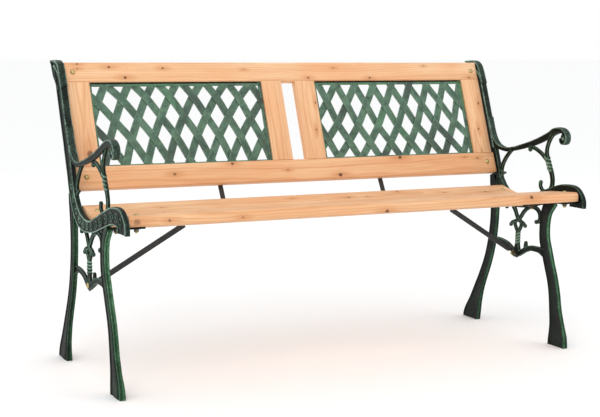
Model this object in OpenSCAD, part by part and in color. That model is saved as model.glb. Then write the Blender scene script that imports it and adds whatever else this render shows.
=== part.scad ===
// Garden bench for two: a pair of scrolled cast iron side frames carry three wooden seat slats
// and a leaning wooden back with two woven lattice panels.
// +X is the sitter's left to right as seen from the front, +Y is the back, +Z is up, feet on z = 0.

/* [Overall size] */
// Width over the two castings
bench_w = 1220; // [1000:10:1600]

/* [Side frames] */
// Thickness of the seat band
band_t = 12; // [10:1:16]
// Thickness of the legs between the band and the feet
leg_t = 11.5; // [8:0.5:12]
// Thickness of the arm ends and of the upright beside the back
arm_t = 18; // [14:1:24]
// Thickness of the slender middle of the arm
arm_waist_t = 9; // [7:0.5:14]
// Thickness of the thin scroll work
scroll_t = 7; // [6:0.5:10]
// How far each foot stands out beyond the inner face of the leg
foot_out = 3; // [0:0.5:6]
// Depth of the sunk panels on the castings
sunk = 2; // [1:0.5:3]
// Width of the raised rims around the sunk panels
rim_w = 6; // [4:0.5:8]
// Thickness of the ledges and lugs the timber is bolted to
ledge_t = 5; // [4:0.5:8]

/* [Seat] */
// Width of each seat slat, front to back
slat_w = 108; // [90:1:120]
// Thickness of each seat slat
slat_t = 24; // [18:1:26]
// Radius of the rounded front edge of the front slat
nose_r = 10; // [4:1:11]
// Gap between a slat end and the casting
slat_gap = 3; // [2:0.5:6]

/* [Back] */
// Lean of the back from the vertical, degrees
lean = 21.5; // [10:0.5:25]
// Height of the lower rail, along the lean
low_rail_h = 55; // [40:1:70]
// Height of the top rail, along the lean
top_rail_h = 50; // [40:1:70]
// Thickness of both rails
rail_t = 21; // [18:1:26]
// Width of each stile
stile_w = 56; // [40:1:70]
// Thickness of each stile
stile_t = 18; // [14:1:20]
// Length of the stiles between the rails
stile_h = 210.5; // [180:0.5:220]
// Open space between the two inner stiles
middle_gap = 40; // [10:1:80]

/* [Lattice] */
// Width of a lattice strip
strip_w = 20; // [12:1:26]
// Thickness of a lattice strip
strip_t = 3; // [2:0.5:4]
// Distance between neighbouring strips, measured along the rails
pitch_x = 60; // [45:1:80]
// Height of one full diamond
pitch_z = 102; // [70:1:130]
// Width of the panel border that shows beside the stiles
border_w = 9; // [4:1:20]
// Width of the panel border that shows along the rails
border_h = 5; // [2:1:20]

/* [Steel and fasteners] */
// Width of the steel straps that tie the seat to the back
strap_w = 12; // [10:1:20]
// Thickness of the straps
strap_t = 3; // [2:0.5:4]
// Width of the diagonal braces
brace_w = 13; // [10:1:18]
// Thickness of the diagonal braces
brace_t = 4; // [3:0.5:6]
// Diameter of the bolts
bolt_d = 6; // [5:0.5:8]
// Diameter of the small screws
screw_d = 4; // [3:0.5:5]
// Diameter of the dowels in the stile ends
dowel_d = 8; // [6:1:10]

/* [Hidden] */
$fn = 48;
tiny = 0.1;
hole_play = 0.6;
head_d = 13;
head_h = 4;
nut_w = 10;
nut_h = 5;
washer_d = 16;
washer_t = 1.5;
half_w = bench_w / 2;
band_in = half_w - band_t;
arm_in = half_w - arm_t;
arm_waist_in = half_w - arm_waist_t;
// Where the arm starts to slim, is slim, starts to widen and is wide again, front to back
arm_taper = [-150, -105, 60, 118];
foot_h = 36;
collar_out = 2;
scroll_in = half_w - head_h - scroll_t;
cast_col = [0.10, 0.14, 0.11];
wood_col = [0.86, 0.62, 0.40];
lattice_col = [0.33, 0.47, 0.37];
steel_col = [0.07, 0.07, 0.07];
brass_col = [0.72, 0.56, 0.25];

// Outline knots of the side frame: [y, z, width across the bar]
band_knots = [[-240.5, 371, 54], [-239.5, 386, 53], [-225.5, 402, 45], [-196, 405, 41], [-165, 401, 39],
  [-115, 386, 36], [-65, 370, 33.5], [-38, 362, 30], [-12, 358, 28.5], [15, 357.5, 31], [39, 361, 35],
  [62, 369, 38], [85, 388, 38], [104, 413, 38], [116, 440, 39.5], [124, 464, 37.5], [134.5, 492, 37],
  [152, 539, 37]];
upright_knots = [[132, 489, 36], [153, 540, 36.5], [177, 600, 36.5], [200.5, 660, 36], [206, 676, 36]];
crown_pts = [[190, 682], [199.5, 705], [210, 721], [226, 729], [246, 730], [262, 729.5], [272.5, 727],
  [264, 717], [256, 703], [247, 690], [235, 683], [224, 672], [206, 664]];
front_leg_knots = [[-186, -20, 68], [-186, 0, 66], [-184, 25, 63], [-177, 62, 48], [-170, 95, 40.5],
  [-163, 135, 37], [-153, 170, 35], [-138, 207, 34.5], [-124, 243, 35], [-113.5, 272, 35], [-111, 302, 34],
  [-113, 330, 35], [-119, 350, 36], [-129, 367, 40], [-142, 384, 43]];
rear_leg_knots = [[210, -20, 68], [207.5, 0, 66], [200.5, 25, 61], [188.5, 60, 46], [176, 93, 36],
  [163, 122, 31],
  [150, 150, 29], [137, 181, 28], [127.5, 212, 28], [120.5, 243, 28], [116, 273, 28], [113.8, 303, 28],
  [113.5, 335, 29], [115, 365, 31], [118, 395, 34], [119.5, 425, 36], [121.5, 442, 30]];
arm_knots = [[146, 566, 16], [137, 541, 16], [123, 516, 16], [104, 500.5, 14], [85, 495, 12.5],
  [66, 493.5, 12],
  [32, 499.5, 12.5], [-10, 509.5, 14], [-54, 522, 16], [-87, 534, 17], [-115, 546, 17], [-138, 555.5, 17],
  [-158, 560.5, 15.5], [-175, 559, 13.5], [-187, 551, 12], [-190, 540, 11], [-186, 531.5, 10],
  [-178.5, 531.5, 9.5]];
post_knots = [[-136, 553, 12], [-124, 541, 11], [-113.5, 524, 10.5], [-108.5, 508, 10.5], [-109, 492, 13],
  [-116, 476, 14], [-125, 459, 14], [-133, 444, 13], [-136.5, 428, 13], [-134, 413, 12], [-124, 402, 10],
  [-110, 398, 8.5], [-97, 400, 9], [-88.5, 408, 9.5], [-86.5, 418, 9]];
strut_knots = [[-110, 480, 9], [-101, 486, 10], [-87, 495, 10], [-71, 502, 9.5], [-55, 507, 10],
  [-38, 508, 10]];
ring_knots = [[44, 494, 9], [58, 483, 10], [72, 468, 11], [82, 453, 11.5], [87, 438, 12], [90, 420, 14]];
spur_knots = [[100, 428, 26], [88, 427, 18], [78, 429, 9], [66, 430.5, 2.5]];
arch_knots = [[-75, 312.5, 9], [-85, 314.5, 9.5], [-91, 324, 10.5], [-89, 337, 11], [-79, 346.5, 11],
  [-63, 351, 11], [-46, 349, 11], [-31, 342, 10.5], [-18, 331, 10.5], [-8, 319, 10.5], [3, 309, 10],
  [17, 304.5, 9], [29, 300, 8], [35, 294, 8]];
horn_knots = [[27, 344, 13], [18, 334, 11.5], [11, 322, 11], [3, 311, 10.5], [-9, 305.5, 9.5],
  [-20, 302, 8.5],
  [-28, 296, 8]];
heart_left = [[-9, 305, 9], [-11, 296, 9], [-6, 286, 9], [2, 275, 10]];
heart_right = [[14, 305, 9], [17, 296, 9], [11, 286, 9], [3, 275, 10]];
stem_knots = [[2.5, 280, 12], [2.5, 270, 15], [2.5, 255, 15], [2.5, 242, 17], [3, 228, 26]];
tie_knots = [[-112, 236, 22], [-98, 240, 18], [-82, 241, 15.5], [-58, 240, 15], [-38, 234, 15],
  [-20, 225, 15], [-6, 218, 15], [5, 216, 15], [15, 219, 15], [30, 229, 14.5], [46, 237, 13.5],
  [66, 242, 12.5], [86, 243, 14.5], [100, 241, 18], [116, 236, 22]];
finger_knots = [[-34, 236, 14], [-34.5, 246, 11], [-34.5, 253, 9.5]];
bud_knots = [[63, 358, 16], [59, 346, 11.5], [57, 337, 9]];
// Turned collars on the scroll work: [centre of the first, step to the next, tilt, width, height]
collar_rows = [[[-111, 486], [-4.4, -9.3], 20, 19, 6], [[2.5, 272], [0, -7.5], -14, 20, 5.5]];
// Embossed ovals on the seat band: [y, z, tilt, half length]
motif_rows = [[-196, 405, -4, 12], [-160, 400, -12, 12], [-124, 389, -18, 12], [-88, 377.5, -18, 12],
  [-54, 366.5, -16, 10], [-22, 359.5, -8, 9], [10, 358, 0, 9], [42, 362, 16, 11]];
motif_flat = 0.62;
motif_rim = 3;

// Seat slats: [y, z of the front top edge, slope in degrees, distance of the bolt from the front edge]
slats = [[-251, 411.5, -4.3, 24], [-140.3, 400.5, -13.1, 54], [-31.1, 376, 11.2, 66]];
slat_half = band_in - slat_gap;
bolt_x = half_w - 39;
ledge_x = bolt_x - 15;
ledge_l = 36;
ledge_root = 6;
ledge_rise = 12;
lug_h = 40;

// Back frame: its origin is the bottom front edge of the lower rail
back_y = 101.8;
back_z = 431;
low_half = band_in - slat_gap + 1;
top_half = arm_in - 2.5;
stile_out = top_half + 0.5;
top_s = low_rail_h + stile_h;
low_bolt_s = 29;
top_bolt_s = top_s + top_rail_h / 2;
groove_t = 2 * strip_t + 1;
groove_y = 6;
groove_d = 6;
tongue = 5;
panel_in = middle_gap / 2 + stile_w;
panel_out = stile_out - stile_w;

// Straps and braces
strap_at = [-222.5, 237.5];
strap_bend = 124;
strap_top_s = 46;
brace_eye = [7, 218];
brace_eye_x = scroll_in - brace_t;
brace_top_x = 362;
brace_top_u = 13;
tab_t = 3;

function mix(a, b, c, d, t) = 0.5 * (2 * b + (c - a) * t + (2 * a - 5 * b + 4 * c - d) * t * t
  + (3 * b - a - 3 * c + d) * t * t * t);
function knot(k, i) = k[max(0, min(len(k) - 1, i))];
function smooth(k, n) = [for (i = [0 : len(k) - 2], j = [0 : n - 1])
  mix(knot(k, i - 1), k[i], k[i + 1], knot(k, i + 2), j / n), k[len(k) - 1]];
function loop(k, n) = [for (i = [0 : len(k) - 1], j = [0 : n - 1]) mix(k[(i + len(k) - 1) % len(k)], k[i],
  k[(i + 1) % len(k)], k[(i + 2) % len(k)], j / n)];
function way(c, i) = knot(c, i + 1) - knot(c, i - 1);
function edge(c, i, side, less) = let (d = way(c, i), m = norm([d[0], d[1]]), w = (c[i][2] / 2 - less) * side)
  [c[i][0] - w * d[1] / m, c[i][1] + w * d[0] / m];
function slice(k, a, b) = [for (i = [a : b]) k[i]];
function uv(s, u, v) = [s[0] + u * cos(s[2]) - v * sin(s[2]), s[1] + u * sin(s[2]) + v * cos(s[2])];
function cross_at(p, a, q, b) = let (d = [cos(a), sin(a)], e = [cos(b), sin(b)], r = q - p,
  t = (r[0] * e[1] - r[1] * e[0]) / (d[0] * e[1] - d[1] * e[0])) p + t * d;
function on_back(y, s) = [back_y + s * sin(lean) + y * cos(lean), back_z + s * cos(lean) - y * sin(lean)];

// A bar of varying width through the knots; less narrows it on both sides
module ribbon(k, n = 3, less = 0) {
  c = smooth(k, n);
  last = len(c) - 1;
  there = [for (i = [0 : last]) edge(c, i, 1, less)];
  back = [for (i = [last : -1 : 0]) edge(c, i, -1, less)];
  polygon(concat(there, back));
}

module dot(p, r) translate(p) circle(r = r);

// A flat outline in the side view, extruded across the bench from x0
module plate(x0, t) translate([x0, 0, 0]) rotate([90, 0, 90]) linear_extrude(height = t) children();

// A short bar across a scroll, for the turned collars
module ring_bar(p, a, w, h) translate(p) rotate(a) {
  square([w - h, h], center = true);
  for (e = [-1, 1]) translate([e * (w - h) / 2, 0]) circle(d = h);
}

module above_floor(top) intersection() {
  translate([-half_w, 0]) square([bench_w, top]);
  children();
}

module scroll_work() {
  ribbon(post_knots);
  dot([-89.5, 421], 5.5);
  ribbon(strut_knots);
  dot([-37, 503], 7);
  ribbon(ring_knots);
  ribbon(spur_knots);
  ribbon(arch_knots);
  dot([-75, 312.5], 5.5);
  dot([35, 293], 5);
  ribbon(horn_knots);
  dot([-28, 296], 5);
  ribbon(heart_left);
  ribbon(heart_right);
  ribbon(stem_knots);
  ribbon(tie_knots);
  ribbon(finger_knots);
  dot([-34.3, 252], 5.6);
  ribbon(bud_knots);
  dot([57, 337], 5);
  dot(brace_eye, 12);
}

module collars() for (c = collar_rows, i = [0 : 3]) ring_bar(c[0] + i * c[1], c[2], c[3], c[4]);

// Embossed ovals along the sunk panel of the seat band
module motifs() for (m = motif_rows) translate([m[0], m[1]]) rotate(m[2]) difference() {
  oval(m[3], m[3] * motif_flat);
  oval(m[3] - motif_rim, m[3] * motif_flat - motif_rim);
}

module oval(a, b) polygon([for (i = [0 : 23]) [a * cos(15 * i), b * sin(15 * i)]]);

// The frame of seat slat s: x across, y from its front edge towards the back, z up from its top face
module in_slat(s) translate([0, s[0], s[1]]) rotate([s[2], 0, 0]) children();

// The leaning frame of the back: x across, y from the timber's front face, z up the lean
module in_back() translate([0, back_y, back_z]) rotate([-lean, 0, 0]) children();

// Bores for the bolts
module seat_bores(d, x = bolt_x) for (s = slats) in_slat(s)
  translate([x, s[3], -slat_t - 30]) cylinder(d = d, h = slat_t + 60);

module back_bores(d, x = bolt_x) for (s = [low_bolt_s, top_bolt_s]) in_back()
  translate([x, -10, s]) rotate([-90, 0, 0]) cylinder(d = d, h = rail_t + 40);

// Seat ledges with a root that rises into the band, and lugs behind both rails
module ledges() {
  for (s = slats) in_slat(s) translate([0, s[3] - ledge_l / 2, -slat_t - ledge_t]) {
    translate([ledge_x, 0, 0]) cube([band_in + ledge_root - ledge_x, ledge_l, ledge_t]);
    translate([band_in, 0, 0]) cube([ledge_root, ledge_l, ledge_t + ledge_rise]);
  }
  for (s = [low_bolt_s, top_bolt_s]) in_back() translate([ledge_x, rail_t, s - lug_h / 2])
    cube([band_in + ledge_root - ledge_x, ledge_t, lug_h]);
}

// Both legs; towards the feet they thicken inwards and outwards
module legs() intersection() {
  plate(band_in - foot_out, band_t + foot_out) above_floor(half_w) {
    ribbon(front_leg_knots);
    ribbon(rear_leg_knots);
  }
  rotate([90, 0, 0]) translate([0, 0, -half_w]) linear_extrude(height = bench_w)
    polygon([[band_in - foot_out, -1], [half_w, -1], [band_in + leg_t, foot_h], [band_in + leg_t, half_w],
      [band_in, half_w], [band_in, foot_h]]);
}

// The arm is slender in its middle and widens towards the scroll and the upright
module arm() intersection() {
  plate(arm_in, arm_t) {
    ribbon(arm_knots);
    dot([-178, 539], 6.5);
  }
  linear_extrude(height = bench_w) polygon([[half_w, half_w], [half_w, -half_w], [arm_in, -half_w],
    [arm_in, arm_taper[0]], [arm_waist_in, arm_taper[1]], [arm_waist_in, arm_taper[2]],
  [arm_in, arm_taper[3]],
    [arm_in, half_w]]);
}

// One cast side frame, drawn for the right hand end
module side_frame() difference() {
  union() {
    plate(band_in, band_t) ribbon(band_knots);
    legs();
    plate(arm_in, arm_t) {
      ribbon(upright_knots);
      polygon(loop(crown_pts, 4));
    }
    arm();
    plate(scroll_in, scroll_t) scroll_work();
    plate(scroll_in - collar_out, scroll_t + 2 * collar_out) collars();
    ledges();
  }
  plate(half_w - sunk, 2 * sunk) difference() {
    ribbon(slice(band_knots, 3, 12), less = rim_w);
    motifs();
  }
  plate(half_w - sunk, 2 * sunk) ribbon(slice(upright_knots, 1, 3), less = rim_w);
  for (x = [band_in + leg_t - sunk, band_in - sunk]) plate(x, 2 * sunk) {
    ribbon(slice(front_leg_knots, 3, 12), less = rim_w);
    ribbon(slice(rear_leg_knots, 3, 12), less = rim_w);
  }
  seat_bores(bolt_d + hole_play);
  back_bores(bolt_d + hole_play);
  plate(scroll_in - tiny, band_t) dot(brace_eye, bolt_d / 2 + hole_play / 2);
}

module left_side_frame() color(cast_col) mirror([1, 0, 0]) side_frame();

module right_side_frame() color(cast_col) side_frame();

// A seat slat lying in its own frame, top face on z = 0, front edge on y = 0
module slat_body(nose) plate(-slat_half, 2 * slat_half) difference() {
  translate([0, -slat_t]) square([slat_w, slat_t]);
  corner_cut([0, 0], 1, -1, nose);
  corner_cut([slat_w, 0], -1, -1, 3);
  corner_cut([0, -slat_t], 1, 1, nose > 3 ? 6 : 2);
  corner_cut([slat_w, -slat_t], -1, 1, 2);
}

// Rounds one corner of an outline: sx, sy point from the corner into the material
module corner_cut(p, sx, sy, r) translate(p) scale([sx, sy]) difference() {
  translate([-1, -1]) square([r + 1, r + 1]);
  translate([r, r]) circle(r = r);
}

module seat_slat(i) color(wood_col) difference() {
  in_slat(slats[i]) slat_body(i == 0 ? nose_r : 3);
  for (x = [-bolt_x, bolt_x]) seat_bores(bolt_d + hole_play, x);
  strap_bores(screw_d);
  brace_bores(screw_d);
}

module front_seat_slat() seat_slat(0);

module middle_seat_slat() seat_slat(1);

module rear_seat_slat() seat_slat(2);

// Back timber, drawn in the leaning frame: x across, y into the back, z up the lean
module rail(half, s0, h) translate([-half, 0, s0]) difference() {
  cube([2 * half, rail_t, h]);
  for (e = [0, 1]) translate([0, 0, e * h]) rotate([45, 0, 0]) cube([5 * half, 3, 3], center = true);
}

module panel_grooves(s0) for (m = [0, 1]) mirror([m, 0, 0])
  translate([panel_in - groove_d, groove_y - 0.5, s0 - groove_d])
    cube([panel_out - panel_in + 2 * groove_d, groove_t, 2 * groove_d]);

module dowels(d, l) for (x = [middle_gap / 2, panel_out], e = [-1, 1], k = [1, 3], s = [low_rail_h, top_s])
  translate([e * (x + k * stile_w / 4), stile_t / 2, s - l / 2]) cylinder(d = d, h = l);

module low_back_solid() difference() {
  rail(low_half, 0, low_rail_h);
  panel_grooves(low_rail_h);
}

module top_back_solid() difference() {
  rail(top_half, top_s, top_rail_h);
  panel_grooves(top_s);
}

module lower_back_rail() color(wood_col) difference() {
  in_back() difference() {
    low_back_solid();
    dowels(dowel_d, 40);
  }
  for (x = [-bolt_x, bolt_x]) back_bores(bolt_d + hole_play, x);
  strap_bores(screw_d);
}

module top_back_rail() color(wood_col) difference() {
  in_back() difference() {
    top_back_solid();
    dowels(dowel_d, 40);
  }
  for (x = [-bolt_x, bolt_x]) back_bores(bolt_d + hole_play, x);
}

// groove: 1 cuts the edge at larger x, -1 the edge at smaller x
module stile(x0, groove) color(wood_col) in_back() difference() {
  translate([x0, 0, low_rail_h]) cube([stile_w, stile_t, stile_h]);
  translate([x0 + (groove > 0 ? stile_w - groove_d : -groove_d), groove_y - 0.5, low_rail_h - 1])
    cube([2 * groove_d, groove_t, stile_h + 2]);
  dowels(dowel_d, 40);
}

module left_outer_stile() stile(-stile_out, 1);

module left_inner_stile() stile(-panel_in, -1);

module right_inner_stile() stile(middle_gap / 2, 1);

module right_outer_stile() stile(panel_out, -1);

// One family of parallel strips across a panel, dir = 1 or -1 gives the slant
module strips(w, h, dir, x_shift) {
  slant = atan2(pitch_z, pitch_x);
  for (i = [-ceil((w + h) / pitch_x) : ceil((w + h) / pitch_x)]) translate([x_shift + i * pitch_x, h / 2])
    rotate(dir * slant) square([2 * h, strip_w], center = true);
}

// phase = [x of a crossing, height of that crossing above the panel's lower edge]
module lattice(phase) {
  w = panel_out - panel_in + 2 * tongue;
  h = stile_h + 2 * tongue;
  side = tongue + border_w;
  foot = tongue + border_h;
  run = (phase[1] - h / 2) * pitch_x / pitch_z;
  color(lattice_col) in_back() translate([panel_in - tongue, groove_y + 2 * strip_t, low_rail_h - tongue])
    rotate([90, 0, 0]) {
      linear_extrude(height = 2 * strip_t) difference() {
        square([w, h]);
        translate([side, foot]) square([w - 2 * side, h - 2 * foot]);
      }
      for (k = [0, 1]) translate([0, 0, k * strip_t]) linear_extrude(height = strip_t) intersection() {
        square([w, h]);
        strips(w, h, 2 * k - 1, phase[0] - (2 * k - 1) * run);
      }
    }
}

module right_lattice() lattice([31, 48.5]);

module left_lattice() mirror([1, 0, 0]) lattice([17, 73.5]);

// Straps: along the underside of the rear slat, then up behind the lower rail
strap_line = [uv(slats[2], 28, -slat_t - strap_t / 2), uv(slats[2], strap_bend, -slat_t - strap_t / 2),
  on_back(rail_t + strap_t / 2, -2), on_back(rail_t + strap_t / 2, strap_top_s)];

module bar(p, q, t) translate(p) rotate(atan2(q[1] - p[1], q[0] - p[0])) translate([0, -t / 2])
  square([norm(q - p), t]);

// Screws that hold a strap: [side view point on the outer face, direction in degrees into the timber]
strap_fix = [[uv(slats[2], 45, -slat_t - strap_t), slats[2][2] + 90],
  [uv(slats[2], 88, -slat_t - strap_t), slats[2][2] + 90],
  [on_back(rail_t + strap_t, 25), 180 - lean]];

module at_fix(f) translate([0, f[0][0], f[0][1]]) rotate([f[1] - 90, 0, 0]) children();

module strap_bores(d) for (x = strap_at, f = strap_fix) translate([x, 0, 0]) at_fix(f)
  translate([0, 0, -1]) cylinder(d = d, h = 20);

module strap(x) color(steel_col) difference() {
  plate(x - strap_w / 2, strap_w) for (i = [0 : len(strap_line) - 2]) {
    bar(strap_line[i], strap_line[i + 1], strap_t);
    if (i > 0) dot(strap_line[i], strap_t / 2);
  }
  strap_bores(screw_d + hole_play);
}

module left_strap() strap(strap_at[0]);

module right_strap() strap(strap_at[1]);

// Braces: from the eye in the casting up to a tab under the rear slat
brace_top = uv(slats[2], brace_top_u, -slat_t - tab_t);

module brace_bores(d) for (x = [-brace_top_x, brace_top_x]) in_slat(slats[2])
  translate([x, brace_top_u, -slat_t - tab_t - 1]) cylinder(d = d, h = 18);

module brace() {
  p = [brace_eye_x + brace_t / 2, brace_eye[0], brace_eye[1]];
  q = [brace_top_x + 12, brace_top[0], brace_top[1] - 1.5];
  d = q - p;
  difference() {
    union() {
      plate(brace_eye_x, brace_t) dot(brace_eye, 10);
      translate(p) rotate([0, acos(d[2] / norm(d)), atan2(d[1], d[0])]) translate([0, 0, norm(d) / 2])
        cube([brace_w, brace_t, norm(d)], center = true);
      in_slat(slats[2]) translate([brace_top_x - 12, brace_top_u - 8, -slat_t - tab_t]) cube([32, 16, tab_t]);
    }
    in_slat(slats[2]) translate([0, 0, -slat_t]) cube([half_w, slat_w, 40]);
    plate(scroll_in, 40) dot(brace_eye, 30);
    plate(brace_eye_x - 25, 60) dot(brace_eye, bolt_d / 2 + hole_play / 2);
    plate(brace_eye_x - 40, 40) dot(brace_eye, washer_d / 2 + 0.5);
    brace_bores(screw_d + hole_play);
  }
}

module left_brace() color(steel_col) mirror([1, 0, 0]) brace();

module right_brace() color(steel_col) brace();

// Fasteners, drawn along +Z: the head's underside sits on z = 0 and the shank runs down
module bolt(l) {
  intersection() {
    translate([0, 0, head_h - (head_d * head_d / 8 / head_h + head_h / 2)])
      sphere(r = head_d * head_d / 8 / head_h + head_h / 2);
    cylinder(d = head_d, h = head_h);
  }
  translate([0, 0, -l]) cylinder(d = bolt_d, h = l + 1);
}

module nut() difference() {
  cylinder(d = nut_w / cos(30), h = nut_h, $fn = 6);
  translate([0, 0, -1]) cylinder(d = bolt_d + tiny, h = nut_h + 2);
}

module washer() difference() {
  cylinder(d = washer_d, h = washer_t);
  translate([0, 0, -1]) cylinder(d = bolt_d + hole_play, h = washer_t + 2);
}

module at_seat_bolts() for (x = [-bolt_x, bolt_x], s = slats) in_slat(s) translate([x, s[3], 0]) children();

module at_back_bolts() for (x = [-bolt_x, bolt_x], s = [low_bolt_s, top_bolt_s]) in_back()
  translate([x, 0, s]) rotate([90, 0, 0]) children();

module seat_bolts() color(brass_col) at_seat_bolts() bolt(slat_t + ledge_t + washer_t + nut_h + 3);

module seat_washers() color(brass_col) at_seat_bolts() 
  translate([0, 0, -slat_t - ledge_t - washer_t]) washer();

module seat_nuts() color(brass_col) at_seat_bolts() 
  translate([0, 0, -slat_t - ledge_t - washer_t - nut_h]) nut();

module back_bolts() color(brass_col) at_back_bolts() bolt(rail_t + ledge_t + washer_t + nut_h + 3);

module back_washers() color(brass_col) at_back_bolts() 
  translate([0, 0, -rail_t - ledge_t - washer_t]) washer();

module back_nuts() color(brass_col) at_back_bolts() 
  translate([0, 0, -rail_t - ledge_t - washer_t - nut_h]) nut();

module at_eyes(x) for (m = [0, 1]) mirror([m, 0, 0]) translate([x, brace_eye[0], brace_eye[1]])
  rotate([0, 90, 0]) children();

module brace_bolts() color(brass_col) at_eyes(scroll_in + scroll_t)
  bolt(scroll_t + brace_t + washer_t + nut_h + 4);

module brace_washers() color(brass_col) at_eyes(brace_eye_x - washer_t) washer();

module brace_nuts() color(brass_col) at_eyes(brace_eye_x - washer_t - nut_h) nut();

// A pan head wood screw, head below z = 0, shank up
module wood_screw(t) {
  translate([0, 0, -2.2]) cylinder(d1 = 5, d2 = 8, h = 2.2);
  translate([0, 0, -tiny]) cylinder(d = screw_d - tiny, h = t + 13);
}

module strap_screws() color(steel_col) for (x = strap_at, f = strap_fix) translate([x, 0, 0])
  at_fix(f) wood_screw(strap_t);

module brace_screws() color(steel_col) for (x = [-brace_top_x, brace_top_x]) in_slat(slats[2])
  translate([x, brace_top_u, -slat_t - tab_t]) wood_screw(tab_t);

module stile_dowels() color(wood_col) in_back() dowels(dowel_d - tiny, 38);

left_side_frame();
right_side_frame();
top_back_rail();
lower_back_rail();
left_outer_stile();
left_inner_stile();
right_inner_stile();
right_outer_stile();
left_lattice();
right_lattice();
front_seat_slat();
middle_seat_slat();
rear_seat_slat();
left_strap();
right_strap();
left_brace();
right_brace();
seat_bolts();
seat_washers();
seat_nuts();
back_bolts();
back_washers();
back_nuts();
brace_bolts();
brace_washers();
brace_nuts();
strap_screws();
brace_screws();
stile_dowels();
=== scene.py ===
"""Looks of the garden bench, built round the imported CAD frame. Lengths are millimetres, and X across the
bench, Y to its back and Z up. Side-view tables give (y, z, width) along the middle of a bar."""
import math

import bpy
import numpy as np
from mathutils import Matrix, Vector


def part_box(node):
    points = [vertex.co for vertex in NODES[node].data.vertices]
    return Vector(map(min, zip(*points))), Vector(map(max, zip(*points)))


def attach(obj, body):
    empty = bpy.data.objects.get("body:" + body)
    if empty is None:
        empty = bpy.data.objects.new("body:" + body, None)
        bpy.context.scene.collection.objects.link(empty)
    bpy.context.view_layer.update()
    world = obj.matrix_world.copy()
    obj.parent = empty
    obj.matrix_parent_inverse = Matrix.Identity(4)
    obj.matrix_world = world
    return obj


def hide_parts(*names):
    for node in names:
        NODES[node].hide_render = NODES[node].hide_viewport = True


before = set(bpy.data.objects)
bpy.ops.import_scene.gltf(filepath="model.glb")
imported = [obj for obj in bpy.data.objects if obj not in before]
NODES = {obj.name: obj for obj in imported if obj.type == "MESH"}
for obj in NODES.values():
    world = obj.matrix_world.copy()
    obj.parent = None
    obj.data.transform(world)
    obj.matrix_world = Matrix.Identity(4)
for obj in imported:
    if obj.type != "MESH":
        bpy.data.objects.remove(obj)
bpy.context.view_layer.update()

# ---------------------------------------------------------------- driving sizes, as in the CAD source
HALF = max(abs(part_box("left_side_frame")[0].x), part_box("right_side_frame")[1].x) * 1000
BAND_IN = HALF - 12
ARM_IN = HALF - 18
WAIST_IN = HALF - 9
SCROLL_IN = HALF - 11
SCROLL_OUT = HALF - 4
SCROLL_MID = (SCROLL_IN + SCROLL_OUT) / 2
FOOT_H = 55
FOOT_OUT = 3

LEAN = math.radians(21.5)
# y and z of the lower rail's front bottom edge, where the leaning frame of the back starts
BACK = np.array([101.8, 431.0])
RAIL_T = 21
LOW_RAIL_TOP = 55
TOP_RAIL_BOTTOM = 265.5
RAIL_BOLTS = (29, 290.5)

# one slat a row: y and z of its front edge, its tilt in degrees, and how far back its bolts are
SLATS = [(-251, 411.5, -4.3, 24), (-140.3, 400.5, -13.1, 54), (-31.1, 376, 11.2, 66)]
SLAT_T = 24
LEDGE_T = 5
LEDGE_W = 36
LEDGE_RISE = 12
LEDGE_IN = HALF - 54
LEDGE_OUT = HALF - 6
LUG_HALF = 20

# lattice panels: their opening, and the strips' width, thickness and pitches
PANEL_IN = 76
PANEL_OUT = 534
PANEL_MID_Y = 9
TONGUE = 4.5
STRIP_W = 20
STRIP_T = 3.0
PITCH_X = 60
PITCH_Z = 102
BORDER = 7
BORDER_LOW = 4
BORDER_TOP = 9
SHADOW_GAP = 4.4

# materials of the timber are measured from the frame's origin, turned by the lean
UP = BACK[0] * math.sin(LEAN) + BACK[1] * math.cos(LEAN)
IN = BACK[0] * math.cos(LEAN) - BACK[1] * math.sin(LEAN) + 10
# for a board along each axis, the axes that are along, across and through it
AXES = {"x": (0, 2, 1), "y": (0, 1, 2), "z": (2, 0, 1)}
# width of a growth ring
RING_W = 6.0


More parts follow.
